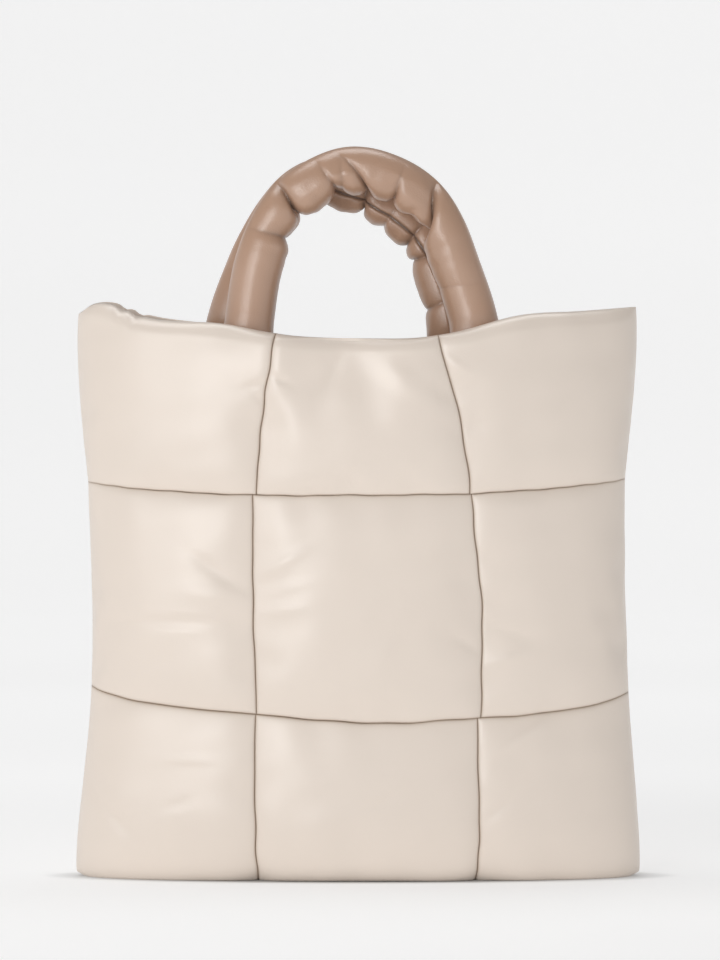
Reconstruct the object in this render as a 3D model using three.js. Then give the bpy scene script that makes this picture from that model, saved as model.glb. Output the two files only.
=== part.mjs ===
// Quilted tote bag. Eighteen padded squares are sewn into a front and a back panel, and two padded
// tube handles are sewn to the inside of the rim.
// Millimetres, +Z up. The bag stands on z = 0, its front faces -Y, and its side and bottom seams lie on
// y = 0.
import * as THREE from 'three';

const { clamp, lerp, smoothstep } = THREE.MathUtils;

// Padded wall
const SQUARE = 160; // side of one square, laid flat
const SEAM_WALL = 4; // thickness along a seam, where the layers are sewn flat
const OUTER_PUFF = 13; // how far the middle of a square stands out from its seams
const INNER_PUFF = 3; // the same, towards the inside of the bag
const SEW_GAP = 0.3; // gap between pieces that are sewn together
const CROWN_POWER = 2.6; // higher is flatter in the middle of a square
const CROWN_EDGE = 0.55; // lower is steeper beside a seam
const RIM_ROLL = 0.09; // share of a top square's height that rolls over the rim
const RIM_FULLNESS = 0.8; // padding at the rim, as a share of the middle of its square

// Form of a panel
const SIDE_POWER = 2.4; // flatness of the front, seen from above
const SIDE_EASE = 1.4; // how far an outer square wraps round the side
const BASE_EASE = 2; // how far a bottom square wraps under the bag
const BASE_ROUND = 55; // height over which the front turns under the bag
const BASE_POWER = 3; // higher turns under more sharply
const BASE_FLATNESS = 3.2; // higher is flatter under the bag

// Sewn lines across a panel, from the bottom seam to the rim. halfWidth is at the side seams, lean is the x
// of the line's middle seen from the front, depth is from the side seams to the middle of the front, and
// sideRound is higher where the sides are rounder.
const LINES = [
  { line: 'bottom', halfWidth: 205, lean: 0, depth: 46, sideRound: 1.4 },
  { line: 'lower', halfWidth: 195.5, lean: 1.5, depth: 46, sideRound: 2.1 },
  { line: 'upper', halfWidth: 195.5, lean: -1, depth: 48, sideRound: 2.0 },
  { line: 'rim', halfWidth: 203.5, lean: -0.5, depth: 52, sideRound: 1.3 },
];
// Heights along each of these lines, from the left side to the right one, two steps to a square.
const HEIGHTS = [
  [3, 2.5, 2.5, 2.5, 2.5, 2.5, 3],
  [139, 128, 121, 115, 118, 124, 135],
  [288, 282, 278, 278, 279, 284, 290],
  [415, 404, 393, 390, 392, 408, 415],
];
// Rows of three squares. belly is how far the sides swell at half height, and the x of the two upright seams
// is given at the bottom, middle and top of the row.
const ROWS = [
  { row: 'bottom', belly: 1, leftSeam: [-72, -74, -74.5], rightSeam: [82, 84.5, 83.5] },
  { row: 'middle', belly: 0, leftSeam: [-73.5, -75.5, -76], rightSeam: [86, 86, 79] },
  { row: 'top', belly: 2.5, leftSeam: [-73.5, -68.5, -60], rightSeam: [78, 70, 55.5] },
];
// Where the rim stands up between its seams, or is folded down at a corner, seen from the front.
const RIM_RISES = [
  { x: -205, rise: -7, width: 9 },
  { x: -182, rise: 6, width: 20 },
  { x: -100, rise: 4, width: 30 },
  { x: 110, rise: 5, width: 35 },
];
const COLUMNS = ['left', 'centre', 'right'];
const TOP = ROWS.length - 1;

// Handles
const TUBE_RADIUS = 17.8;
const HANDLE_Y = 20.5; // from the middle of the bag to each handle
const FOOT_LENGTH = 46; // stretch at each end over which the tube is pressed flat
const FOOT_THICK = 12;
const FOOT_WIDTH = 42;
const FOOT_SPLAY = 4; // how far the foot's end lies outside its leg
const FOOT_HEIGHT = 0.72; // where the foot ends, as a share of a top square's height
// Centre line of each handle above the rim, from its left leg to its right one, seen from its own side.
const FRONT_ARCH = [
  { x: -80, z: 404 },
  { x: -74, z: 442 },
  { x: -63, z: 471 },
  { x: -47, z: 493 },
  { x: -20, z: 509 },
  { x: 2, z: 512 },
  { x: 27, z: 504 },
  { x: 46, z: 490 },
  { x: 59, z: 470 },
  { x: 69, z: 444 },
  { x: 82, z: 404 },
];
const BACK_ARCH = [
  { x: -66, z: 404 },
  { x: -56, z: 440 },
  { x: -45, z: 465 },
  { x: -31, z: 482 },
  { x: -12, z: 495 },
  { x: 6, z: 503 },
  { x: 27, z: 508 },
  { x: 44, z: 501 },
  { x: 58, z: 486 },
  { x: 70, z: 467 },
  { x: 81, z: 444 },
  { x: 95, z: 404 },
];
// Folds across the inside of each arch. at is a share of the tube's length.
const FRONT_FOLDS = [
  { at: 0.28, depth: 5, width: 6 },
  { at: 0.355, depth: 9, width: 6 },
  { at: 0.44, depth: 7, width: 5 },
  { at: 0.475, depth: 4, width: 4 },
  { at: 0.515, depth: 7, width: 5 },
  { at: 0.585, depth: 8, width: 6 },
  { at: 0.68, depth: 11, width: 7 },
  { at: 0.82, depth: 2, width: 8 },
];
const BACK_FOLDS = [
  { at: 0.165, depth: 4, width: 6 },
  { at: 0.26, depth: 5, width: 6 },
  { at: 0.32, depth: 6, width: 6 },
  { at: 0.38, depth: 3, width: 6 },
  { at: 0.445, depth: 8, width: 6 },
  { at: 0.53, depth: 6, width: 6 },
  { at: 0.61, depth: 8, width: 6 },
  { at: 0.69, depth: 6, width: 6 },
  { at: 0.79, depth: 4, width: 7 },
];

// Mesh steps
const SQUARE_STEPS = [0, 0.03, 0.08, 0.17, 0.32, 0.5, 0.68, 0.83, 0.92, 0.97, 1];
const RIM_STEPS = [0, 0.03, 0.08, 0.17, 0.32, 0.5, 0.7, 0.85, 0.92, 0.96, 0.985, 1];
const TUBE_RINGS = 52;
const TUBE_SIDES = 14;

const SHELL = new THREE.MeshStandardMaterial({ color: 0xe9dece, roughness: 0.42, metalness: 0 });
const TUBE = new THREE.MeshStandardMaterial({ color: 0xac8c74, roughness: 0.38, metalness: 0 });

// A smooth curve through equally spaced values, read at a fractional index.
function through(values, at) {
  const last = values.length - 1;
  const i = Math.min(Math.floor(at), last - 1);
  const t = at - i;
  const [a, b, c, d] = [i - 1, i, i + 1, i + 2].map((k) => values[clamp(k, 0, last)]);
  return b + 0.5 * t * (c - a + t * (2 * a - 5 * b + 4 * c - d + t * (3 * (b - c) + d - a)));
}

// Height of a point of a square: s runs from 0 at its left seam to 1 at its right one, t from bottom to top.
function heightAt({ column, row }, s, t) {
  const [below, above] = [row, row + 1].map((k) => through(HEIGHTS[k], 2 * (column + s)));
  return lerp(below, above, row === 0 ? t ** BASE_EASE : t);
}

// How far the rim stands up above its sewn line at an x.
function rimRise(x) {
  const rises = RIM_RISES.map((place) => place.rise * Math.exp(-(((x - place.x) / place.width) ** 2)));
  return rises.reduce((sum, rise) => sum + rise);
}

// The same point of a panel before padding, in the panel's own frame. The inset surface is the inner side of
// the seams.
function panelPoint(square, s, t, inset) {
  const onLine = (size) => through(LINES.map((line) => line[size]), square.row + t);
  const { belly, leftSeam, rightSeam } = ROWS[square.row];
  const halfWidth = onLine('halfWidth') + belly * 4 * t * (1 - t) - inset;
  const middle = square.seenFrom * onLine('lean');
  const [left, right] = [middle - halfWidth, middle + halfWidth];
  const [leftX, rightX] = [leftSeam, rightSeam].map((seam) => through(seam, 2 * t));
  const x = [
    left + (leftX - left) * s ** SIDE_EASE,
    lerp(leftX, rightX, s),
    right - (right - rightX) * (1 - s) ** SIDE_EASE,
  ][square.column];

  const height = heightAt(square, s, t);
  const aboveSeam = height - through(HEIGHTS[0], 2 * (square.column + s));
  const turn = 1 - clamp(aboveSeam / BASE_ROUND, 0, 1);
  const base = (1 - turn ** BASE_POWER) ** (1 / BASE_FLATNESS);
  const side = Math.max(0, 1 - Math.abs((x - middle) / halfWidth) ** SIDE_POWER) ** (1 / onLine('sideRound'));
  const y = -SEW_GAP / 2 - (onLine('depth') - inset) * side * base;
  const rise = square.row === TOP ? rimRise(square.seenFrom * x) * t ** 3 : 0;
  return new THREE.Vector3(x, y, height + inset * turn + rise);
}

// Outward direction of the panel at a point.
function panelNormal(square, s, t, inset) {
  const step = 1e-3;
  const [left, right] = [Math.max(s - step, 0), Math.min(s + step, 1)];
  const [low, high] = [Math.max(t - step, 0), Math.min(t + step, 1)];
  const across = panelPoint(square, right, t, inset).sub(panelPoint(square, left, t, inset));
  const up = panelPoint(square, s, high, inset).sub(panelPoint(square, s, low, inset));
  return across.cross(up).normalize();
}

// Cross-section of a padded square, from 0 at its seams to 1 in the middle.
const crown = (share) => (1 - Math.abs(2 * share - 1) ** CROWN_POWER) ** CROWN_EDGE;

// The upright cross-section of a top square, which stays full up to the rim and rolls over it.
function rimCrown(share) {
  if (share < 0.5) return crown(share);
  const fullness = lerp(1, RIM_FULLNESS, (2 * share - 1) ** 2);
  const roll = clamp(1 - (1 - share) / RIM_ROLL, 0, 1);
  return fullness * Math.sqrt(1 - roll ** 2);
}

const padding = (square, s, t) => crown(s) * (square.row === TOP ? rimCrown(t) : crown(t));

function outerPoint(square, s, t) {
  const puff = OUTER_PUFF * padding(square, s, t);
  const point = panelPoint(square, s, t, 0).addScaledVector(panelNormal(square, s, t, 0), puff);
  point.z = Math.max(point.z, 0); // pressed flat where it rests
  return point;
}

function innerPoint(square, s, t) {
  const puff = INNER_PUFF * padding(square, s, t);
  return panelPoint(square, s, t, SEAM_WALL).addScaledVector(panelNormal(square, s, t, SEAM_WALL), -puff);
}

// A closed body between two grids of points with the same rows and columns.
function closedBetween(outer, inner) {
  const rows = outer.length;
  const columns = outer[0].length;
  const index = [];
  const quad = (a, b, c, d) => index.push(a, b, c, a, c, d);
  const out = (i, j) => i * columns + j;
  const into = (i, j) => rows * columns + i * columns + j;
  for (let i = 0; i < rows - 1; i++) {
    for (let j = 0; j < columns - 1; j++) {
      quad(out(i, j), out(i, j + 1), out(i + 1, j + 1), out(i + 1, j));
      quad(into(i, j), into(i + 1, j), into(i + 1, j + 1), into(i, j + 1));
    }
    quad(out(i, 0), out(i + 1, 0), into(i + 1, 0), into(i, 0));
    quad(out(i + 1, columns - 1), out(i, columns - 1), into(i, columns - 1), into(i + 1, columns - 1));
  }
  for (let j = 0; j < columns - 1; j++) {
    quad(out(0, j + 1), out(0, j), into(0, j), into(0, j + 1));
    quad(out(rows - 1, j), out(rows - 1, j + 1), into(rows - 1, j + 1), into(rows - 1, j));
  }
  const geometry = new THREE.BufferGeometry().setFromPoints([...outer.flat(), ...inner.flat()]);
  geometry.setIndex(index);
  geometry.computeVertexNormals();
  return geometry;
}

// Mesh steps across a square, stopped half a sewing gap short of each seam that joins it to the next square.
function seamSteps(steps, place, count) {
  const gap = SEW_GAP / 2 / SQUARE;
  const first = place > 0 ? gap : 0;
  const last = place < count - 1 ? 1 - gap : 1;
  return steps.map((step) => clamp(step, first, last));
}

function paddedSquare(square) {
  const across = seamSteps(SQUARE_STEPS, square.column, COLUMNS.length);
  const up = seamSteps(square.row === TOP ? RIM_STEPS : SQUARE_STEPS, square.row, ROWS.length);
  const grid = (pointAt) => up.map((t) => across.map((s) => pointAt(square, s, t)));
  return closedBetween(grid(outerPoint), grid(innerPoint));
}

function addPanel(group, side, seenFrom) {
  ROWS.forEach(({ row }, rowNumber) => {
    COLUMNS.forEach((column, columnNumber) => {
      const square = new THREE.Mesh(paddedSquare({ column: columnNumber, row: rowNumber, seenFrom }), SHELL);
      square.name = `${side}_square_${row}_${column}`;
      group.add(square);
    });
  });
}

// Where a handle's foot is sewn: a place on the panel's inner side at a given x. The middle of the foot lies
// half its thickness further in, and its flat side faces the panel.
function footSeat(x, seenFrom) {
  const square = { column: x < 0 ? 0 : COLUMNS.length - 1, row: TOP, seenFrom };
  let [low, high] = [0, 1];
  for (let halving = 0; halving < 30; halving++) {
    const middle = (low + high) / 2;
    if (innerPoint(square, middle, FOOT_HEIGHT).x < x) low = middle;
    else high = middle;
  }
  const facing = panelNormal(square, low, FOOT_HEIGHT, SEAM_WALL);
  const point = innerPoint(square, low, FOOT_HEIGHT).addScaledVector(facing, -FOOT_THICK / 2 - SEW_GAP);
  return { point, facing };
}

// A closed body through rings of points, with a flat fan at each end.
function closedTube(rings) {
  const sides = rings[0].length;
  const index = [];
  for (let i = 0; i < rings.length - 1; i++) {
    for (let k = 0; k < sides; k++) {
      const [a, b] = [i * sides + k, i * sides + ((k + 1) % sides)];
      index.push(a, b, b + sides, a, b + sides, a + sides);
    }
  }
  const end = (rings.length - 1) * sides;
  for (let k = 1; k < sides - 1; k++) {
    index.push(0, k + 1, k);
    index.push(end, end + k, end + k + 1);
  }
  const geometry = new THREE.BufferGeometry().setFromPoints(rings.flat()).setIndex(index);
  geometry.computeVertexNormals();
  return geometry;
}

// A padded tube along an arch, gathered in folds on its inside and pressed flat at its feet.
function handleTube(arch, folds, seenFrom) {
  const left = footSeat(arch[0].x - FOOT_SPLAY, seenFrom);
  const right = footSeat(arch[arch.length - 1].x + FOOT_SPLAY, seenFrom);
  const bend = arch.map(({ x, z }) => new THREE.Vector3(x, -HANDLE_Y, z));
  const route = new THREE.CatmullRomCurve3([left.point, ...bend, right.point]);
  const length = route.getLength();
  const rings = [];
  for (let i = 0; i <= TUBE_RINGS; i++) {
    const at = i / TUBE_RINGS;
    const centre = route.getPointAt(at);
    const along = route.getTangentAt(at);
    const fromEnd = Math.min(at, 1 - at) * length;
    const pressed = 1 - smoothstep(fromEnd, 0, FOOT_LENGTH);
    const { facing } = at < 0.5 ? left : right;
    const outward = new THREE.Vector3(0, -1, 0).lerp(facing, pressed).cross(along).normalize();
    const sideways = along.clone().cross(outward);
    const across = lerp(TUBE_RADIUS, FOOT_WIDTH / 2, pressed);
    const deep = lerp(TUBE_RADIUS, FOOT_THICK / 2, pressed);
    const folded = (fold) => fold.depth * Math.exp(-((((at - fold.at) * length) / fold.width) ** 2));
    const gather = folds.reduce((sum, fold) => sum + folded(fold), 0) / TUBE_RADIUS;
    const ring = [];
    for (let k = 0; k < TUBE_SIDES; k++) {
      const angle = (2 * Math.PI * k) / TUBE_SIDES;
      const inside = ((1 - Math.cos(angle)) / 2) ** 1.5;
      const keep = 1 - inside * gather;
      const point = centre.clone().addScaledVector(outward, across * keep * Math.cos(angle));
      ring.push(point.addScaledVector(sideways, deep * keep * Math.sin(angle)));
    }
    rings.push(ring);
  }
  return closedTube(rings);
}

function addHandle(group, side, tube) {
  const handle = new THREE.Mesh(tube, TUBE);
  handle.name = `${side}_handle`;
  group.add(handle);
}

// seenFrom is 1 for the front panel, and -1 for the back one, whose own left is the bag's right.
const front = new THREE.Group();
addPanel(front, 'front', 1);
addHandle(front, 'front', handleTube(FRONT_ARCH, FRONT_FOLDS, 1));

// The back of the bag is the same panel turned round.
const back = new THREE.Group();
addPanel(back, 'back', -1);
addHandle(back, 'back', handleTube(BACK_ARCH, BACK_FOLDS, -1));
back.rotation.z = Math.PI;

const tote = new THREE.Group();
tote.add(front, back);

export default tote;
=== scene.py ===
"""Quilted leather tote bag in a pale studio. Metres, +Z up, front facing -Y."""
import math
from collections import namedtuple

import bpy
import numpy as np
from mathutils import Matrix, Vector


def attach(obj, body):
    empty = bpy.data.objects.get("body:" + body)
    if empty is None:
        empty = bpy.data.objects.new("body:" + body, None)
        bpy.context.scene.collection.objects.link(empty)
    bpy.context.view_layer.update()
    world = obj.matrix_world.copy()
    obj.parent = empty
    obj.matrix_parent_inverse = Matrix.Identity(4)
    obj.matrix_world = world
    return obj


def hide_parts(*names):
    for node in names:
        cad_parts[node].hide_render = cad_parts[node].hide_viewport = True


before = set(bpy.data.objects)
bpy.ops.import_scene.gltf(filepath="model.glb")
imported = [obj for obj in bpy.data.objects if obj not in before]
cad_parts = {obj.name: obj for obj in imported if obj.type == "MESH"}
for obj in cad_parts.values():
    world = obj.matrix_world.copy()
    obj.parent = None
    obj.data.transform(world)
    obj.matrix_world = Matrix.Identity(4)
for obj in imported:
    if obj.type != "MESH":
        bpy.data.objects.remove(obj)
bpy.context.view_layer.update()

# Padded wall
SQUARE = 0.160  # side of one square, laid flat
SEAM_WALL = 0.004  # thickness along a seam, where the layers are sewn flat
OUTER_PUFF = 0.013  # how far the middle of a square stands out from its seams
INNER_PUFF = 0.003  # the same, towards the inside of the bag
CROWN_POWER = 5.0  # higher is flatter in the middle of a square
CROWN_EDGE = 0.6  # lower is steeper beside a seam
SEAM_LIFT = 0.55  # how full the padding still is where two squares are sewn together
SIDE_LIFT = 0.9  # the same where that seam runs out at a side of the bag
SIDE_LIFT_POWER = 4  # higher keeps that fullness closer to the side
RIM_ROLL = 0.09  # share of a top square's height that rolls over the rim
RIM_FULLNESS = 0.8  # padding at the rim, as a share of the middle of its square

# Form of a panel
SIDE_POWER = 2.3  # flatness of the front, seen from above
SIDE_EASE = 1.4  # how far an outer square wraps round the side
BASE_EASE = 2.0  # how far a bottom square wraps under the bag
BASE_ROUND = 0.055  # height over which the front turns under the bag
BASE_POWER = 3.0  # higher turns under more sharply
BASE_FLATNESS = 3.2  # higher is flatter under the bag

# Sewn lines across a panel, from the bottom seam to the rim. half_width is at the side seams, lean is the x
# of a line's middle, depth is from the side seams to the middle of the front, and side_round is higher
# where the sides are rounder. Heights run from the left side to the right one, two steps to a square.
LINES = [
    {"half_width": 0.205, "lean": -0.0015, "depth": 0.046, "side_round": 1.4,
     "heights": [0.003, 0.0025, 0.0025, 0.0025, 0.0025, 0.0025, 0.003]},
    {"half_width": 0.1955, "lean": 0.0, "depth": 0.046, "side_round": 1.5,
     "heights": [0.139, 0.128, 0.121, 0.115, 0.118, 0.124, 0.135]},
    {"half_width": 0.1955, "lean": -0.0025, "depth": 0.048, "side_round": 1.5,
     "heights": [0.288, 0.282, 0.278, 0.278, 0.279, 0.284, 0.290]},
    {"half_width": 0.2035, "lean": -0.002, "depth": 0.052, "side_round": 1.3,
     "heights": [0.415, 0.404, 0.393, 0.390, 0.392, 0.408, 0.415]},
]
# Rows of three squares. belly is how far the sides swell at half height, and the left and right upright
# seams have an x at the bottom, middle and top of the row.
ROWS = [
    {"row": "bottom", "belly": 0.001, "seams": [[-0.072, -0.074, -0.0745], [0.082, 0.0845, 0.0835]]},
    {"row": "middle", "belly": 0.0, "seams": [[-0.0735, -0.0755, -0.076], [0.086, 0.086, 0.079]]},
    {"row": "top", "belly": 0.0025, "seams": [[-0.0735, -0.0685, -0.060], [0.078, 0.070, 0.0555]]},
]
COLUMNS = ["left", "centre", "right"]
TOP = len(ROWS) - 1
RIGHT = len(COLUMNS) - 1
# Slow waves by which a sewn line strays to either side
SEAM_WANDER = 0.00030
WANDER_WAVES = 4
WANDER_PITCH = (1.5, 6.5)  # waves in a square's side
LINE_SEED = 10
UPRIGHT_SEED = 20
# Where the rim stands up, or is folded down, between its seams
RIM_RISES = [
    {"x": -0.207, "rise": -0.0070, "width": 0.009},
    {"x": -0.182, "rise": 0.0065, "width": 0.020},
    {"x": -0.172, "rise": -0.0022, "width": 0.003},
    {"x": -0.161, "rise": -0.0022, "width": 0.003},
    {"x": -0.100, "rise": 0.0040, "width": 0.030},
    {"x": 0.110, "rise": 0.0050, "width": 0.035},
]
RIM_RISE_POWER = 3  # higher keeps a rise closer to the rim

# Shallow dents and ridges of the leather: the middle of each in its panel's frame, the direction it runs in
# degrees from level, its length and width, and how far it stands out.
Dent = namedtuple("Dent", "x z turn long wide out")
DENTS = [
    Dent(-0.073, 0.356, 10, 0.009, 0.0025, -0.0014),
    Dent(-0.056, 0.361, -25, 0.008, 0.0025, -0.0014),
    Dent(-0.062, 0.372, 84, 0.034, 0.0160, 0.0060),
    Dent(-0.010, 0.388, 90, 0.040, 0.0300, -0.0065),
    Dent(0.030, 0.360, -42, 0.026, 0.0080, 0.0012),
    Dent(-0.101, 0.224, -35, 0.026, 0.0040, -0.0012),
    Dent(-0.128, 0.187, 0, 0.030, 0.0030, -0.0018),
    Dent(-0.070, 0.347, -30, 0.006, 0.0022, -0.0012),
    Dent(-0.018, 0.369, 60, 0.014, 0.0050, -0.0012),
    Dent(0.066, 0.372, -35, 0.014, 0.0040, 0.0009),
    Dent(-0.104, 0.207, -8, 0.024, 0.0080, 0.0013),
    Dent(-0.052, 0.231, 30, 0.018, 0.0030, 0.0010),
    Dent(-0.050, 0.212, 15, 0.020, 0.0030, 0.0009),
    Dent(-0.056, 0.196, 5, 0.016, 0.0030, 0.0008),
    Dent(0.074, 0.172, -30, 0.012, 0.0030, -0.0010),
    Dent(0.129, 0.209, 80, 0.022, 0.0120, -0.0013),
    Dent(0.104, 0.161, 15, 0.016, 0.0030, 0.0009),
    Dent(-0.119, 0.088, 0, 0.020, 0.0025, 0.0008),
    Dent(0.018, 0.060, 25, 0.012, 0.0030, -0.0009),
    Dent(0.112, 0.103, 35, 0.020, 0.0040, 0.0010),
    Dent(0.097, 0.052, 40, 0.014, 0.0030, -0.0009),
    Dent(-0.173, 0.047, -48, 0.024, 0.0045, -0.0020),
    Dent(-0.128, 0.056, 20, 0.010, 0.0025, -0.0010),
    Dent(0.105, 0.180, -20, 0.018, 0.0035, -0.0008),
    Dent(0.150, 0.345, 35, 0.030, 0.0060, 0.0008),
    Dent(0.120, 0.085, 40, 0.026, 0.0050, 0.0008),
    Dent(0.020, 0.170, 70, 0.030, 0.0070, 0.0007),
]

# Gentle undulation of the leather
WAVES = 9
WAVE_PITCH = (0.022, 0.070)
WAVE_HEIGHT = 0.0001
WAVE_SEED = 3

# Handles
TUBE_RADIUS = 0.0178
HANDLE_Y = 0.0205  # from the middle of the bag to each handle
FOOT_LENGTH = 0.046  # stretch at each end over which the tube is pressed flat
FOOT_THICK = 0.012
FOOT_WIDTH = 0.042
FOOT_SPLAY = 0.004  # how far the foot's end lies outside its leg
FOOT_HEIGHT = 0.72  # where the foot ends, as a share of a top square's height
FOOT_GAP = 0.0003
# Centre line of each handle above the rim, x and z in its panel's frame, from the left leg to the right one
FRONT_ARCH = [
    (-0.080, 0.404), (-0.074, 0.442), (-0.063, 0.471), (-0.047, 0.493), (-0.020, 0.509), (0.002, 0.512),
    (0.027, 0.504), (0.046, 0.490), (0.059, 0.470), (0.069, 0.444), (0.082, 0.404),
]
BACK_ARCH = [
    (-0.066, 0.404), (-0.056, 0.440), (-0.045, 0.465), (-0.031, 0.482), (-0.012, 0.495), (0.006, 0.503),
    (0.027, 0.508), (0.044, 0.501), (0.058, 0.486), (0.070, 0.467), (0.081, 0.444), (0.095, 0.404),
]
# Creases of each handle. at is a share of its length at the middle of the section, before and after are the
# widths of the two flanks, lean moves the crease's outer end along the tube, reach is lower where the crease
# comes further round to the outside, and cusp is lower where it is sharper.
CREASE_CUSP = 0.75
Crease = namedtuple("Crease", "at depth before after lean reach cusp", defaults=[CREASE_CUSP])
FRONT_CREASES = [
    Crease(0.283, 0.0065, 0.0050, 0.0170, -0.003, 0.9, cusp=1.2),
    Crease(0.355, 0.0130, 0.0030, 0.0022, 0.003, 0.35),
    Crease(0.440, 0.0055, 0.0055, 0.0035, -0.003, 1.0, cusp=1.0),
    Crease(0.470, 0.0030, 0.0040, 0.0040, 0.002, 1.0, cusp=1.2),
    Crease(0.496, 0.0090, 0.0030, 0.0045, -0.012, 1.1),
    Crease(0.583, 0.0055, 0.0050, 0.0030, -0.002, 1.2, cusp=1.0),
    Crease(0.670, 0.0150, 0.0100, 0.0018, -0.013, 0.35),
    Crease(0.820, 0.0012, 0.0120, 0.0100, 0.004, 0.8),
]
BACK_CREASES = [
    Crease(0.165, 0.0040, 0.0040, 0.0060, 0.002, 1.0),
    Crease(0.262, 0.0060, 0.0060, 0.0030, -0.003, 0.8),
    Crease(0.318, 0.0075, 0.0050, 0.0040, 0.004, 0.8),
    Crease(0.380, 0.0030, 0.0040, 0.0060, 0.000, 1.2),
    Crease(0.447, 0.0090, 0.0030, 0.0060, 0.003, 1.0),
    Crease(0.530, 0.0060, 0.0060, 0.0035, 0.000, 1.3),
    Crease(0.610, 0.0080, 0.0035, 0.0060, -0.003, 0.7),
    Crease(0.690, 0.0060, 0.0060, 0.0035, 0.000, 1.0),
    Crease(0.790, 0.0040, 0.0040, 0.0080, 0.002, 1.1),
]
CREASE_ROUND = 0.0004  # radius at the bottom of a crease
# The seam along each handle, on the side that faces the other one: its angle from the outside of the bend,
# in half turns at equal steps along the handle
HANDLE_SEAM = [1.5, 1.5, 1.36, 1.40, 1.5, 1.5]
HANDLE_SEAM_DEPTH = 0.0018
HANDLE_SEAM_WIDTH = 0.0014
# Fine wrinkles round the inside of a bend
WRINKLES = 5
WRINKLE_DEPTH = 0.00010
WRINKLE_PITCH = (0.007, 0.020)
WRINKLE_PHASE = (0, 6)
WRINKLE_TWIST = (-3, 3)
WRINKLE_BEND = (0.15, 0.30)  # how far from the feet the wrinkles begin and are full, as shares of the length
WRINKLE_REACH = 1.2
WRINKLE_SEED = 7

# Painted shade in the leather along its seams and creases
SEAM_SHADE = 0.0006  # width of the painted shade along a seam
CREASE_SHADE = 0.0012  # width of the painted shade along a crease
DEEP_CREASE = 0.010  # depth at which that painted shade is darkest

# Mesh density
SQUARE_CELLS = 80
SEAM_CROWDING = 0.8  # how much closer together the mesh lines are beside a seam
TUBE_RINGS = 480
TUBE_SIDES = 112
TUBE_STEPS = 4000  # points of a handle's centre line
NORMAL_STEP = 1e-3  # share of a square over which its direction is measured
SEARCH_STEPS = 30  # halvings in the search for a foot's place

# Leather that settles under the padding's pressure. excess is how much larger it is than the form it starts
# on, and limit is how far a point may move from there.
CLOTH_FRAMES = 20
CLOTH_QUALITY = 6
CLOTH_MASS = 0.3
SHEAR_SOFTNESS = 3  # how much more easily the leather shears than it stretches
SHELL_CLOTH = {"excess": 0.0045, "pressure": 4.0, "tension": 15.0, "bending": 4.0, "limit": 0.006}
SHELL_CELLS = 28
BASE_SLACK = (0.25, 0.55)  # how far up a bottom square the slack begins and is full
UPPER_SLACK = (0.55, 0.85)  # how far up each square it starts to lessen and ends
TUBE_CLOTH = {"excess": 0.16, "pressure": 3.0, "tension": 15.0, "bending": 2.0, "limit": 0.010}
TUBE_CLOTH_RINGS = 120
TUBE_CLOTH_SIDES = 40
TUBE_SLACK = (0.10, 0.15)  # how far from the feet the slack begins and is full
TUBE_SMOOTHING = 2  # rounds of smoothing of the way it moves
TUBE_HELD = 0.5  # the leather holds its form where the cosine of the angle from the outside is over this
HELD_CREASE = 0.0105  # depth from which a crease holds the leather down
HELD_CLOSENESS = 0.25  # how close to such a crease the leather is held
HELD_SEAM = 0.75  # how far to either side of a handle's seam it is held, in steps round the tube

# Leathers, with painted shade darkening them in their seams and creases
SHELL_LEATHER = {
    "colour": (0.76, 0.668, 0.588), "shade_colour": (0.30, 0.21, 0.14),
    "roughness": 0.30, "grain": 0.08, "gloss": 0.70,
}
HANDLE_LEATHER = {
    "colour": (0.441, 0.275, 0.189), "shade_colour": (0.10, 0.06, 0.04),
    "roughness": 0.30, "grain": 0.26, "gloss": 0.95,
}
LEATHER_IOR = 1.46
PATCH_SCALE = 14
PATCH_DETAIL = 3
PATCH_TINT = 0.03  # how much lighter or darker a patch may be
PATCH_ROUGHNESS = 0.02  # how much duller or glossier
PORE_SCALE = 900
PORE_DEPTH = 0.0003

# Pale round stage. Its paper glows by its distance from the bag to one pale tone, and not under and just
# round the bag, which paints a contact shadow there.
STAGE_RINGS = [0.5, 1.5, 3.0]
STAGE_FLAT = 4.5
STAGE_CURVE = 1.5
STAGE_HEIGHT = 2.4
STAGE_BENDS = 12
STAGE_TURNS = 96
PAPER_TONE = 0.6
PAPER_ROUGHNESS = 0.9
GLOWS = [
    (0.45, 0.46), (1.0, 0.51), (2.25, 0.59), (3.4, 0.625), (5.2, 0.593), (5.9, 0.56), (6.2, 0.524),
]
GLOW_END = 6.6
PAINTED_SHADOW_OVAL = (0.205, 0.048, 1)  # half sizes of the oval of floor under and round the bag where a contact shadow is painted
PAINTED_SHADOW_EDGE = (0.88, 1.14)  # shares of its size over which that painted shadow fades and the glow comes back

# Soft light from the left, a narrower one for the gloss, and one from above. spread is in degrees.
LIGHT_TARGET = (0, 0, 0.28)
LIGHTS = [
    {"name": "key", "place": (-1.0, -1.76, 0.70), "size": (1.6, 1.4), "power": 2.9, "spread": 80},
    {"name": "strip", "place": (-0.75, -2.05, 0.50), "size": (0.45, 1.2), "power": 1.0, "spread": 80},
    {"name": "top", "place": (-0.2, 0.4, 2.6), "size": (2.2, 1.2), "power": 24, "spread": 180},
]
WORLD_STRENGTH = 0.24

# Camera, straight in front of the bag
CAMERA_PLACE = (0, -2.5, 0.2886)
LENS_MM = 128.4
SENSOR_MM = 36
CLIP_START = 0.05


def through(values, at):
    """A smooth curve through equally spaced values or points, read at fractional indices."""
    values = np.asarray(values, float)
    last = len(values) - 1
    at = np.asarray(at, float)
    i = np.clip(np.floor(at).astype(int), 0, last - 1)
    t = (at - i).reshape(at.shape + (1,) * (values.ndim - 1))
    a, b, c, d = (values[np.clip(i + k, 0, last)] for k in (-1, 0, 1, 2))
    return b + 0.5 * t * (c - a + t * (2 * a - 5 * b + 4 * c - d + t * (3 * (b - c) + d - a)))


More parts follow.
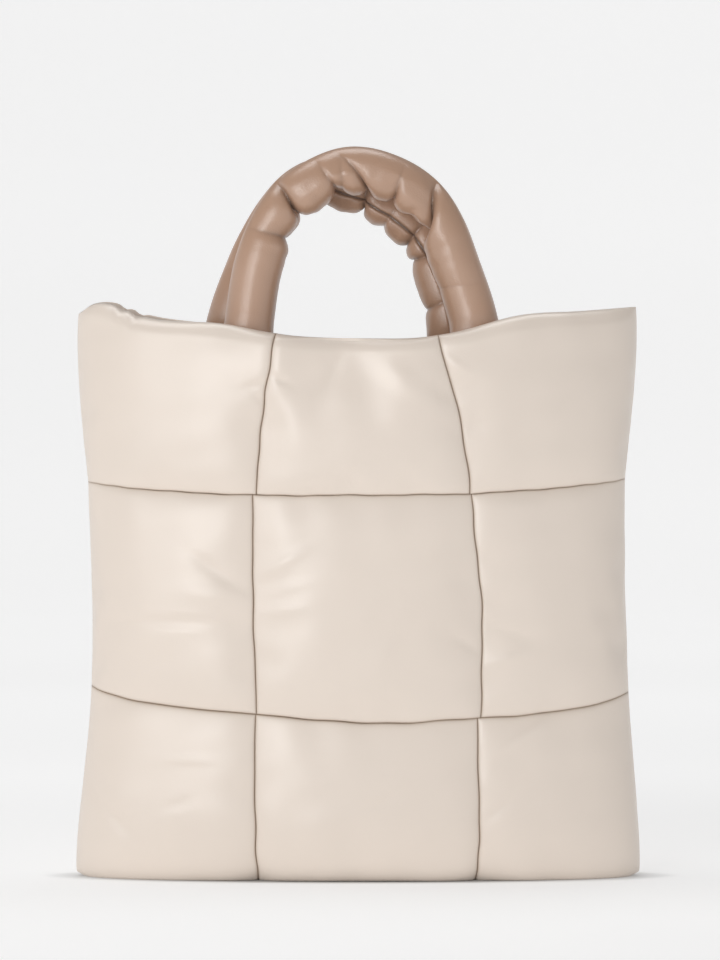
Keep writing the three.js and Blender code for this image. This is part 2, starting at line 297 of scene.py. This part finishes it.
def through_grid(grid, rows, columns):
    """A smooth surface through a grid of points, read at fractional rows and columns."""
    return through(through(grid, rows).swapaxes(0, 1), columns).swapaxes(0, 1)


def averaged(grid, axis):
    """A grid with each point averaged with its neighbours along an axis, apart from the two ends."""
    rows = np.moveaxis(grid, axis, 0)
    between = (rows[:-2] + 2 * rows[1:-1] + rows[2:]) / 4
    return np.moveaxis(np.concatenate([rows[:1], between, rows[-1:]]), 0, axis)


def smoothstep(x, low, high):
    x = np.clip((x - low) / (high - low), 0, 1)
    return x * x * (3 - 2 * x)


def wander(at, seed):
    """A slow seeded wave between about -1 and 1."""
    draw = np.random.default_rng(seed)
    pitches = draw.uniform(*WANDER_PITCH, WANDER_WAVES)
    phases = draw.uniform(0, 2 * math.pi, WANDER_WAVES)
    return sum(np.sin(2 * math.pi * pitch * at + phase) for pitch, phase in zip(pitches, phases)) / 2


def eased(row, t):
    """Share of a row's height, which a bottom square gains slowly as it turns up from under the bag."""
    return t ** BASE_EASE if row == 0 else t


def crown(share, low, high):
    """Cross-section of a padded square, 1 in the middle and down to low and high at its two seams."""
    arch = np.maximum(0, 1 - np.abs(2 * share - 1) ** CROWN_POWER) ** CROWN_EDGE
    lift = low + (high - low) * share
    return lift + (1 - lift) * arch


def rim_crown(share, low):
    """The upright cross-section of a top square, which stays full up to the rim and rolls over it."""
    fullness = 1 + (RIM_FULLNESS - 1) * (2 * share - 1) ** 2
    roll = np.clip(1 - (1 - share) / RIM_ROLL, 0, 1)
    return np.where(share < 0.5, crown(share, low, 1), fullness * np.sqrt(1 - roll ** 2))


class Panel:
    """One quilted side of the bag in its own frame, facing -Y. The back is turned half round about Z.

    A square of it has a column and a row. A point of a square has s, from its left seam to its right one,
    and t, from its bottom to its top.
    """

    def __init__(self, turn):
        self.turn = turn

    def size(self, name, level):
        """A size of the panel at a level, which counts rows from the bottom seam."""
        return through([line[name] for line in LINES], level)

    def line_height(self, line, across):
        """Height of a sewn line, where across counts half squares from the left side."""
        height = through(LINES[line]["heights"], across)
        if 0 < line <= TOP:
            height = height + SEAM_WANDER * wander(across / 2, LINE_SEED + line)
        return height

    def height(self, column, row, s, t):
        across = 2 * (column + s)
        below = self.line_height(row, across)
        above = self.line_height(row + 1, across)
        return below + (above - below) * eased(row, t)

    def upright(self, row, seam, t):
        """The x of a row's left or right upright seam, which are 0 and 1."""
        stray = SEAM_WANDER * wander(t, UPRIGHT_SEED + 2 * row + seam)
        return through(ROWS[row]["seams"][seam], 2 * t) + stray

    def rise(self, x):
        """How far the rim stands up at an x."""
        return sum(r["rise"] * np.exp(-((self.turn * x - r["x"]) / r["width"]) ** 2) for r in RIM_RISES)

    def point(self, column, row, s, t, inset):
        """A point before padding, or of the inner side of the seams."""
        level = row + eased(row, t)
        half = self.size("half_width", level) + ROWS[row]["belly"] * 4 * t * (1 - t) - inset
        lean = self.turn * self.size("lean", level)
        left = self.upright(row, 0, t)
        right = self.upright(row, 1, t)
        if column == 0:
            x = lean - half + (half - lean + left) * s ** SIDE_EASE
        elif column == RIGHT:
            x = lean + half - (half + lean - right) * (1 - s) ** SIDE_EASE
        else:
            x = left + (right - left) * s
        height = self.height(column, row, s, t)
        above_seam = height - through(LINES[0]["heights"], 2 * (column + s))
        turned = 1 - np.clip(above_seam / BASE_ROUND, 0, 1)
        base = (1 - turned ** BASE_POWER) ** (1 / BASE_FLATNESS)
        flatness = np.maximum(0, 1 - np.abs((x - lean) / half) ** SIDE_POWER)
        side = flatness ** (1 / self.size("side_round", row + t))
        y = -(self.size("depth", row + t) - inset) * side * base
        z = height + inset * turned
        if row == TOP:
            z = z + self.rise(x) * t ** RIM_RISE_POWER
        return np.stack([x, y, z], -1)

    def normal(self, column, row, s, t, inset):
        """Outward direction."""
        right = np.minimum(s + NORMAL_STEP, 1)
        left = np.maximum(s - NORMAL_STEP, 0)
        high = np.minimum(t + NORMAL_STEP, 1)
        low = np.maximum(t - NORMAL_STEP, 0)
        across = self.point(column, row, right, t, inset) - self.point(column, row, left, t, inset)
        up = self.point(column, row, s, high, inset) - self.point(column, row, s, low, inset)
        normal = np.cross(across, up)
        return normal / np.linalg.norm(normal, axis=-1, keepdims=True)

    def padding(self, column, row, s, t):
        """How full a square is, from 0 at the bag's sides and bottom seam to 1 in its middle."""
        across = crown(s, SEAM_LIFT, SEAM_LIFT)
        to_side = np.zeros_like(s)
        if column in (0, RIGHT):
            to_side = s if column == RIGHT else 1 - s
            across = np.where(to_side > 0.5, np.minimum(1, 4 * s * (1 - s)), across)
        lift = SEAM_LIFT + (SIDE_LIFT - SEAM_LIFT) * to_side ** SIDE_LIFT_POWER
        if row == TOP:
            return across * rim_crown(t, lift)
        return across * crown(t, lift if row > 0 else 0, lift)

    def dents(self, point):
        """How far the leather's undulation, dents and ridges move points out."""
        draw = np.random.default_rng(WAVE_SEED)
        x, z = point[..., 0], point[..., 2]
        out = np.zeros(x.shape)
        for _ in range(WAVES):
            turn = draw.uniform(0, math.pi)
            pitch = draw.uniform(*WAVE_PITCH)
            phase = draw.uniform(0, 2 * math.pi)
            reach = x * math.cos(turn) + z * math.sin(turn)
            out += WAVE_HEIGHT * np.sin(2 * math.pi * reach / pitch + phase)
        for dent in DENTS:
            turn = math.radians(dent.turn)
            along = ((x - dent.x) * math.cos(turn) + (z - dent.z) * math.sin(turn)) / dent.long
            across = ((z - dent.z) * math.cos(turn) - (x - dent.x) * math.sin(turn)) / dent.wide
            out += dent.out * np.exp(-along ** 2 - across ** 2)
        return out

    def outer(self, column, row, s, t):
        point = self.point(column, row, s, t, 0.0)
        padding = self.padding(column, row, s, t)
        puff = OUTER_PUFF * padding + self.dents(point) * np.minimum(1, 2 * padding)
        point = point + self.normal(column, row, s, t, 0.0) * puff[..., None]
        point[..., 2] = np.maximum(point[..., 2], 0.0)
        return point

    def inner(self, column, row, s, t):
        puff = INNER_PUFF * self.padding(column, row, s, t)
        normal = self.normal(column, row, s, t, SEAM_WALL)
        return self.point(column, row, s, t, SEAM_WALL) - normal * puff[..., None]

    def foot_seat(self, x):
        """Where a handle's foot lies against the inner side at an x, and the panel's direction there."""
        column = 0 if x < 0 else RIGHT
        t = np.array(FOOT_HEIGHT)
        low, high = 0.0, 1.0
        for _ in range(SEARCH_STEPS):
            half_way = (low + high) / 2
            if self.inner(column, TOP, np.array(half_way), t)[0] < x:
                low = half_way
            else:
                high = half_way
        s = np.array(low)
        facing = self.normal(column, TOP, s, t, SEAM_WALL)
        return self.inner(column, TOP, s, t) - facing * (FOOT_THICK / 2 + FOOT_GAP), facing

    def placed(self, points):
        return points * (self.turn, self.turn, 1)


PANELS = {"front": Panel(1), "back": Panel(-1)}


def grid_faces(rows, columns, start=0, turned=False):
    """Quads of a grid of points whose first point has the index start."""
    i, j = np.meshgrid(np.arange(rows - 1), np.arange(columns - 1), indexing="ij")
    a = start + i * columns + j
    quads = np.stack([a, a + 1, a + columns + 1, a + columns], -1).reshape(-1, 4)
    return quads[:, ::-1] if turned else quads


def tube_faces(rings, sides):
    """Quads round a tube of rings of points."""
    i, k = np.meshgrid(np.arange(rings - 1), np.arange(sides), indexing="ij")
    a = i * sides + k
    b = i * sides + (k + 1) % sides
    return np.stack([a, b, b + sides, a + sides], -1).reshape(-1, 4)


def settle(name, points, faces, sewn, slack, cloth):
    """How far the points of sewn leather move when padding presses on it, from the form it starts on.

    sewn marks the points that stay, and slack has each point's share of the excess leather.
    """
    mesh = bpy.data.meshes.new(name)
    mesh.from_pydata(points.tolist(), [], faces.tolist())
    sheet = bpy.data.objects.new(name, mesh)
    bpy.context.scene.collection.objects.link(sheet)
    held = sheet.vertex_groups.new(name="sewn")
    held.add(np.flatnonzero(sewn).tolist(), 1.0, "REPLACE")
    tight = sheet.vertex_groups.new(name="tight")
    for index, share in enumerate(slack):
        tight.add([index], 1 - float(share), "REPLACE")
    modifier = sheet.modifiers.new("leather", "CLOTH")
    settings = modifier.settings
    settings.quality = CLOTH_QUALITY
    settings.mass = CLOTH_MASS
    settings.tension_stiffness = cloth["tension"]
    settings.compression_stiffness = cloth["tension"]
    settings.shear_stiffness = cloth["tension"] / SHEAR_SOFTNESS
    settings.bending_stiffness = cloth["bending"]
    settings.vertex_group_mass = held.name
    settings.vertex_group_shrink = tight.name
    settings.shrink_min = -cloth["excess"]
    settings.shrink_max = 0
    settings.use_pressure = True
    settings.uniform_pressure_force = cloth["pressure"]
    settings.effector_weights.gravity = 0
    modifier.point_cache.frame_start = 1
    modifier.point_cache.frame_end = CLOTH_FRAMES
    scene = bpy.context.scene
    for step in range(1, CLOTH_FRAMES + 1):
        scene.frame_set(step)
    settled = sheet.evaluated_get(bpy.context.evaluated_depsgraph_get()).data
    rested = np.empty(len(points) * 3)
    settled.vertices.foreach_get("co", rested)
    bpy.data.objects.remove(sheet)
    bpy.data.meshes.remove(mesh)
    scene.frame_set(1)
    moved = rested.reshape(-1, 3) - points
    far = np.linalg.norm(moved, axis=1, keepdims=True)
    return moved * (cloth["limit"] / np.maximum(far, cloth["limit"]))


def settled_squares(panel):
    """How far the leather of each square of a panel moves as it settles, on an even grid."""
    even = np.linspace(0, 1, SHELL_CELLS + 1)
    t, s = np.meshgrid(even, even, indexing="ij")
    places = [(column, row) for row in range(len(ROWS)) for column in range(len(COLUMNS))]
    points = np.concatenate([panel.outer(*place, s, t).reshape(-1, 3) for place in places])
    grids = [grid_faces(len(even), len(even), k * s.size) for k in range(len(places))]
    border = (np.minimum(s, 1 - s) == 0) | (np.minimum(t, 1 - t) == 0)
    sewn = np.tile(border.ravel(), len(places))
    upper = 1 - smoothstep(t, *UPPER_SLACK)
    base = smoothstep(t, *BASE_SLACK)
    slack = np.concatenate([(upper * base if row == 0 else upper).ravel() for _, row in places])
    moved = settle("panel", points, np.concatenate(grids), sewn, slack, SHELL_CLOTH)
    moved = moved.reshape(len(places), *s.shape, 3)
    return dict(zip(places, averaged(averaged(moved, 2), 1)))


def seam_lines(cells):
    """Shares of a square's side for its mesh lines, closer together beside the seams."""
    even = np.linspace(0, 1, cells + 1)
    return even - SEAM_CROWDING * np.sin(2 * math.pi * even) / (2 * math.pi)


def new_piece(name, points, faces, material, seam):
    """A smooth padded piece that stands for the node of the same name."""
    mesh = bpy.data.meshes.new(name)
    mesh.from_pydata(points.tolist(), [], faces)
    mesh.polygons.foreach_set("use_smooth", np.ones(len(mesh.polygons), bool))
    # the seam attribute says how much painted shade of a seam or crease darkens the leather at each point
    layer = mesh.attributes.new("seam", "FLOAT", "POINT")
    layer.data.foreach_set("value", seam.astype(np.float32))
    mesh.materials.append(material)
    piece = bpy.data.objects.new(name + "_leather", mesh)
    bpy.context.scene.collection.objects.link(piece)
    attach(piece, "root")
    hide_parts(name)


def square_mesh(panel, column, row, moved):
    """Points, faces and seam closeness of one padded square; the closeness sets the painted shade along its
    seams.
    """
    lines = seam_lines(SQUARE_CELLS)
    t, s = np.meshgrid(lines, lines, indexing="ij")
    places = lines * (len(moved) - 1)
    outer = panel.outer(column, row, s, t) + through_grid(moved, places, places)
    outer[..., 2] = np.maximum(outer[..., 2], 0)
    inner = panel.inner(column, row, s, t)
    points = np.concatenate([outer.reshape(-1, 3), inner.reshape(-1, 3)])
    n = len(lines)
    far = n * n
    step = np.arange(n - 1)
    ring = np.concatenate([step, (n - 1) + n * step, (far - 1) - step, far - n - n * step])
    after = np.roll(ring, -1)
    edge = np.stack([after, ring, ring + far, after + far], -1)
    faces = np.concatenate([grid_faces(n, n), grid_faces(n, n, far, turned=True), edge])
    # painted shade beside the seams, darkest on a seam and fading within a fraction of a millimetre
    to_side = np.minimum(s, 1 - s) * SQUARE
    to_line = (t if row == TOP else np.minimum(t, 1 - t)) * SQUARE
    seam = np.exp(-np.minimum(to_side, to_line) / SEAM_SHADE)
    return points, faces.tolist(), np.concatenate([seam.ravel(), np.zeros(far)])


def add_panels(material):
    for side, panel in PANELS.items():
        moved = settled_squares(panel)
        for row, names in enumerate(ROWS):
            for column, column_name in enumerate(COLUMNS):
                points, faces, seam = square_mesh(panel, column, row, moved[column, row])
                name = f"{side}_square_{names['row']}_{column_name}"
                points = panel.placed(points)
                new_piece(name, points, faces, material, seam)


class Tube:
    """A padded handle in its panel's frame.

    A point of it has a share of its length, and an angle round it from the outside of the bend.
    """

    def __init__(self, panel, arch, creases):
        left, self.left_facing = panel.foot_seat(arch[0][0] - FOOT_SPLAY)
        right, self.right_facing = panel.foot_seat(arch[-1][0] + FOOT_SPLAY)
        knots = np.array([left, *[(x, -HANDLE_Y, z) for x, z in arch], right])
        self.fine = through(knots, np.linspace(0, len(knots) - 1, TUBE_STEPS))
        steps = np.linalg.norm(np.diff(self.fine, axis=0), axis=1)
        self.reach = np.concatenate([[0], np.cumsum(steps)])
        self.length = self.reach[-1]
        self.creases = creases

    def seam(self, at):
        """Angle of the seam along the tube."""
        return math.pi * through(HANDLE_SEAM, at * (len(HANDLE_SEAM) - 1))

    def wrinkles(self, at, angle):
        draw = np.random.default_rng(WRINKLE_SEED)
        pitches = draw.uniform(*WRINKLE_PITCH, WRINKLES)
        phases = draw.uniform(*WRINKLE_PHASE, WRINKLES)
        twists = draw.uniform(*WRINKLE_TWIST, WRINKLES)
        waves = np.zeros(np.broadcast_shapes(at.shape, angle.shape))
        for pitch, phase, twist in zip(pitches, phases, twists):
            waves += np.sin(2 * math.pi * at * self.length / pitch + phase + twist * np.cos(angle))
        bent = smoothstep(np.minimum(at, 1 - at), *WRINKLE_BEND)
        return WRINKLE_DEPTH * bent * waves

    def folds(self, at, angle, shallowest=0.0):
        """How deep the creases, seam and wrinkles are, and how close a point is to a crease or the seam.

        Creases count from the shallowest one given.
        """
        inside = (1 - np.cos(angle)) / 2
        depth = np.zeros(np.broadcast_shapes(at.shape, angle.shape))
        closeness = np.zeros_like(depth)
        for fold in [fold for fold in self.creases if fold.depth >= shallowest]:
            away = at * self.length - (fold.at * self.length + fold.lean * np.cos(angle))
            flank = np.where(away < 0, fold.before, fold.after)
            away = np.sqrt(away ** 2 + CREASE_ROUND ** 2) - CREASE_ROUND
            round_it = inside ** fold.reach
            depth += fold.depth * round_it * np.exp(-(away / flank) ** fold.cusp)
            # painted shade along a crease, darker for a deeper one
            shade = min(1, fold.depth / DEEP_CREASE) * np.exp(-away / CREASE_SHADE)
            closeness = np.maximum(closeness, round_it * shade)
        # the seam is a groove that also takes painted shade
        sewn = np.exp(-(TUBE_RADIUS * (angle - self.seam(at)) / HANDLE_SEAM_WIDTH) ** 2)
        depth = depth + HANDLE_SEAM_DEPTH * sewn + self.wrinkles(at, angle) * inside ** WRINKLE_REACH
        return depth, np.maximum(closeness, sewn)

    def points(self, rings, sides):
        """Rings of points round the tube, and how close each is to a crease."""
        at = np.linspace(0, 1, rings)[:, None]
        reach = at[:, 0] * self.length
        centre = np.stack([np.interp(reach, self.reach, self.fine[:, k]) for k in range(3)], -1)
        along = np.gradient(centre, axis=0)
        along /= np.linalg.norm(along, axis=1, keepdims=True)
        from_end = np.minimum(at, 1 - at) * self.length
        pressed = 1 - smoothstep(from_end, 0, FOOT_LENGTH)
        facing = np.where(at < 0.5, self.left_facing, self.right_facing)
        face = np.array([0, -1, 0]) * (1 - pressed) + facing * pressed
        outward = np.cross(face, along)
        outward /= np.linalg.norm(outward, axis=1, keepdims=True)
        sideways = np.cross(along, outward)
        across = TUBE_RADIUS + (FOOT_WIDTH / 2 - TUBE_RADIUS) * pressed
        deep = TUBE_RADIUS + (FOOT_THICK / 2 - TUBE_RADIUS) * pressed
        angle = np.linspace(0, 2 * math.pi, sides, endpoint=False)[None, :]
        depth, closeness = self.folds(at, angle)
        keep = 1 - depth / TUBE_RADIUS
        rim = outward[:, None, :] * (across * keep * np.cos(angle))[..., None]
        flank = sideways[:, None, :] * (deep * keep * np.sin(angle))[..., None]
        return centre[:, None, :] + rim + flank, closeness

    def moved(self, name):
        """How far the leather moves as the bent tube settles, ring by ring."""
        rings, sides = TUBE_CLOTH_RINGS, TUBE_CLOTH_SIDES
        start, _ = self.points(rings, sides)
        at = np.linspace(0, 1, rings)[:, None]
        angle = np.linspace(0, 2 * math.pi, sides, endpoint=False)[None, :]
        from_end = np.minimum(at, 1 - at) * self.length
        _, closeness = self.folds(at, angle, HELD_CREASE)
        on_seam = np.abs(angle - self.seam(at)) < HELD_SEAM * 2 * math.pi / sides
        in_crease = closeness > HELD_CLOSENESS
        held = (np.cos(angle) > TUBE_HELD) | (from_end < FOOT_LENGTH) | in_crease | on_seam
        slack = np.clip(-np.cos(angle), 0, 1) * smoothstep(from_end, *TUBE_SLACK)
        faces = tube_faces(rings, sides)
        moved = settle(name, start.reshape(-1, 3), faces, held.ravel(), slack.ravel(), TUBE_CLOTH)
        moved = moved.reshape(start.shape)
        for _ in range(TUBE_SMOOTHING):
            moved = averaged(moved, 0)
            wrapped = np.concatenate([moved[:, -1:], moved, moved[:, :1]], axis=1)
            moved = averaged(wrapped, 1)[:, 1:-1]
        return moved

    def mesh(self, name):
        """Points, faces and crease closeness of the settled tube; the closeness sets the painted shade in
        its creases and seam.
        """
        rings, sides = TUBE_RINGS + 1, TUBE_SIDES
        points, closeness = self.points(rings, sides)
        moved = self.moved(name)
        wrapped = np.concatenate([moved[:, -2:], moved, moved[:, :3]], axis=1)
        lengthways = np.linspace(0, len(moved) - 1, rings)
        round_it = 2 + np.arange(sides) * moved.shape[1] / sides
        points = points + through_grid(wrapped, lengthways, round_it)
        faces = tube_faces(rings, sides).tolist()
        faces.append(list(range(sides))[::-1])
        faces.append(list(range((rings - 1) * sides, rings * sides)))
        return points.reshape(-1, 3), faces, closeness.ravel()


def add_handles(material):
    for side, arch, creases in (("front", FRONT_ARCH, FRONT_CREASES), ("back", BACK_ARCH, BACK_CREASES)):
        name = f"{side}_handle"
        panel = PANELS[side]
        points, faces, crease_shade = Tube(panel, arch, creases).mesh(name + "_cloth")
        points = panel.placed(points)
        new_piece(name, points, faces, material, crease_shade)


def new_material(name):
    """A material, its nodes and links, and its shader."""
    material = bpy.data.materials.new(name)
    material.use_nodes = True
    nodes = material.node_tree.nodes
    return material, nodes, material.node_tree.links, nodes["Principled BSDF"]


def leather(name, look):
    """Smooth coated leather with a fine grain, uneven gloss, and painted shade darkening its seams and
    creases.
    """
    material, nodes, links, shader = new_material(name)
    place = nodes.new("ShaderNodeTexCoord")

    patches = nodes.new("ShaderNodeTexNoise")
    patches.inputs["Scale"].default_value = PATCH_SCALE
    patches.inputs["Detail"].default_value = PATCH_DETAIL
    links.new(place.outputs["Object"], patches.inputs["Vector"])
    tint = nodes.new("ShaderNodeMix")
    tint.data_type = "RGBA"
    tint.inputs["A"].default_value = (*[c * (1 - PATCH_TINT) for c in look["colour"]], 1)
    tint.inputs["B"].default_value = (*[c * (1 + PATCH_TINT) for c in look["colour"]], 1)
    links.new(patches.outputs["Fac"], tint.inputs["Factor"])
    # Painted shade: the seam attribute mixes the leather's dark shade colour into its seams and creases
    seam = nodes.new("ShaderNodeAttribute")
    seam.attribute_name = "seam"
    deep = nodes.new("ShaderNodeMix")
    deep.data_type = "RGBA"
    deep.inputs["B"].default_value = (*look["shade_colour"], 1)
    links.new(seam.outputs["Fac"], deep.inputs["Factor"])
    links.new(tint.outputs["Result"], deep.inputs["A"])
    links.new(deep.outputs["Result"], shader.inputs["Base Color"])

    dullness = nodes.new("ShaderNodeMapRange")
    dullness.inputs["To Min"].default_value = look["roughness"] - PATCH_ROUGHNESS
    dullness.inputs["To Max"].default_value = look["roughness"] + PATCH_ROUGHNESS
    links.new(patches.outputs["Fac"], dullness.inputs["Value"])
    links.new(dullness.outputs["Result"], shader.inputs["Roughness"])

    pores = nodes.new("ShaderNodeTexVoronoi")
    pores.inputs["Scale"].default_value = PORE_SCALE
    links.new(place.outputs["Object"], pores.inputs["Vector"])
    bump = nodes.new("ShaderNodeBump")
    bump.inputs["Strength"].default_value = look["grain"]
    bump.inputs["Distance"].default_value = PORE_DEPTH
    links.new(pores.outputs["Distance"], bump.inputs["Height"])
    links.new(bump.outputs["Normal"], shader.inputs["Normal"])
    shader.inputs["IOR"].default_value = LEATHER_IOR
    shader.inputs["Specular IOR Level"].default_value = look["gloss"]
    return material


def floor_paper():
    """White paper that glows by its distance from the bag, to be one pale tone, and not under and just round
    the bag, where it paints a contact shadow.
    """
    material, nodes, links, shader = new_material("floor_paper")
    shader.inputs["Base Color"].default_value = (PAPER_TONE, PAPER_TONE, PAPER_TONE, 1)
    shader.inputs["Roughness"].default_value = PAPER_ROUGHNESS
    shader.inputs["Specular IOR Level"].default_value = 0
    place = nodes.new("ShaderNodeTexCoord")

    # Painted contact shadow: no glow in an oval under the bag, coming back over its edge
    beside = nodes.new("ShaderNodeVectorMath")
    beside.operation = "DIVIDE"
    beside.inputs[1].default_value = PAINTED_SHADOW_OVAL
    links.new(place.outputs["Object"], beside.inputs[0])
    shadow_distance = nodes.new("ShaderNodeVectorMath")
    shadow_distance.operation = "LENGTH"
    links.new(beside.outputs["Vector"], shadow_distance.inputs[0])
    shadow_cut = nodes.new("ShaderNodeMapRange")
    shadow_cut.inputs["From Min"].default_value = PAINTED_SHADOW_EDGE[0]
    shadow_cut.inputs["From Max"].default_value = PAINTED_SHADOW_EDGE[1]
    links.new(shadow_distance.outputs["Value"], shadow_cut.inputs["Value"])
    links.new(shadow_cut.outputs["Result"], shader.inputs["Emission Strength"])

    away = nodes.new("ShaderNodeVectorMath")
    away.operation = "LENGTH"
    links.new(place.outputs["Object"], away.inputs[0])
    share = nodes.new("ShaderNodeMapRange")
    share.inputs["From Max"].default_value = GLOW_END
    links.new(away.outputs["Value"], share.inputs["Value"])
    glow = nodes.new("ShaderNodeValToRGB")
    ramp = glow.color_ramp
    ramp.interpolation = "EASE"
    while len(ramp.elements) < len(GLOWS):
        ramp.elements.new(0.5)
    for stop, (distance, strength) in zip(ramp.elements, GLOWS):
        stop.position = distance / GLOW_END
        stop.color = (strength, strength, strength, 1)
    links.new(share.outputs["Result"], glow.inputs["Fac"])
    links.new(glow.outputs["Color"], shader.inputs["Emission Color"])
    return material


def add_stage():
    """A round pale floor that curves up into a low wall on all sides."""
    bends = [math.pi / 2 * k / STAGE_BENDS for k in range(STAGE_BENDS + 1)]
    curve = [(STAGE_FLAT + STAGE_CURVE * math.sin(a), STAGE_CURVE * (1 - math.cos(a))) for a in bends]
    profile = [(r, 0.0) for r in STAGE_RINGS] + curve + [(STAGE_FLAT + STAGE_CURVE, STAGE_HEIGHT)]
    turns = [2 * math.pi * k / STAGE_TURNS for k in range(STAGE_TURNS)]
    points = [(r * math.cos(a), r * math.sin(a), z) for r, z in profile for a in turns]
    faces = [quad[::-1] for quad in tube_faces(len(profile), STAGE_TURNS).tolist()]
    faces.append(list(range(STAGE_TURNS)))
    mesh = bpy.data.meshes.new("floor")
    mesh.from_pydata(points, [], faces)
    mesh.polygons.foreach_set("use_smooth", [True] * len(faces))
    mesh.materials.append(floor_paper())
    floor = bpy.data.objects.new("floor", mesh)
    bpy.context.scene.collection.objects.link(floor)


def add_light(name, place, size, power, spread):
    data = bpy.data.lights.new(name, "AREA")
    data.shape = "RECTANGLE"
    data.size = size[0]
    data.size_y = size[1]
    data.energy = power
    data.spread = math.radians(spread)
    light = bpy.data.objects.new(name, data)
    light.location = place
    light.rotation_euler = (Vector(LIGHT_TARGET) - Vector(place)).to_track_quat("-Z", "Y").to_euler()
    light.visible_camera = False
    bpy.context.scene.collection.objects.link(light)


def add_studio():
    world = bpy.data.worlds.new("studio")
    world.use_nodes = True
    background = world.node_tree.nodes["Background"]
    background.inputs["Color"].default_value = (1, 1, 1, 1)
    background.inputs["Strength"].default_value = WORLD_STRENGTH
    bpy.context.scene.world = world
    for light in LIGHTS:
        add_light(**light)
    bpy.context.scene.view_settings.view_transform = "Standard"


def add_camera():
    data = bpy.data.cameras.new("camera")
    data.lens = LENS_MM
    data.sensor_width = SENSOR_MM
    data.clip_start = CLIP_START
    camera = bpy.data.objects.new("camera", data)
    camera.location = CAMERA_PLACE
    camera.rotation_euler = (math.pi / 2, 0, 0)
    bpy.context.scene.collection.objects.link(camera)
    bpy.context.scene.camera = camera


add_camera()
add_stage()
add_studio()
add_panels(leather("shell_leather", SHELL_LEATHER))
add_handles(leather("handle_leather", HANDLE_LEATHER))

bpy.context.view_layer.update()
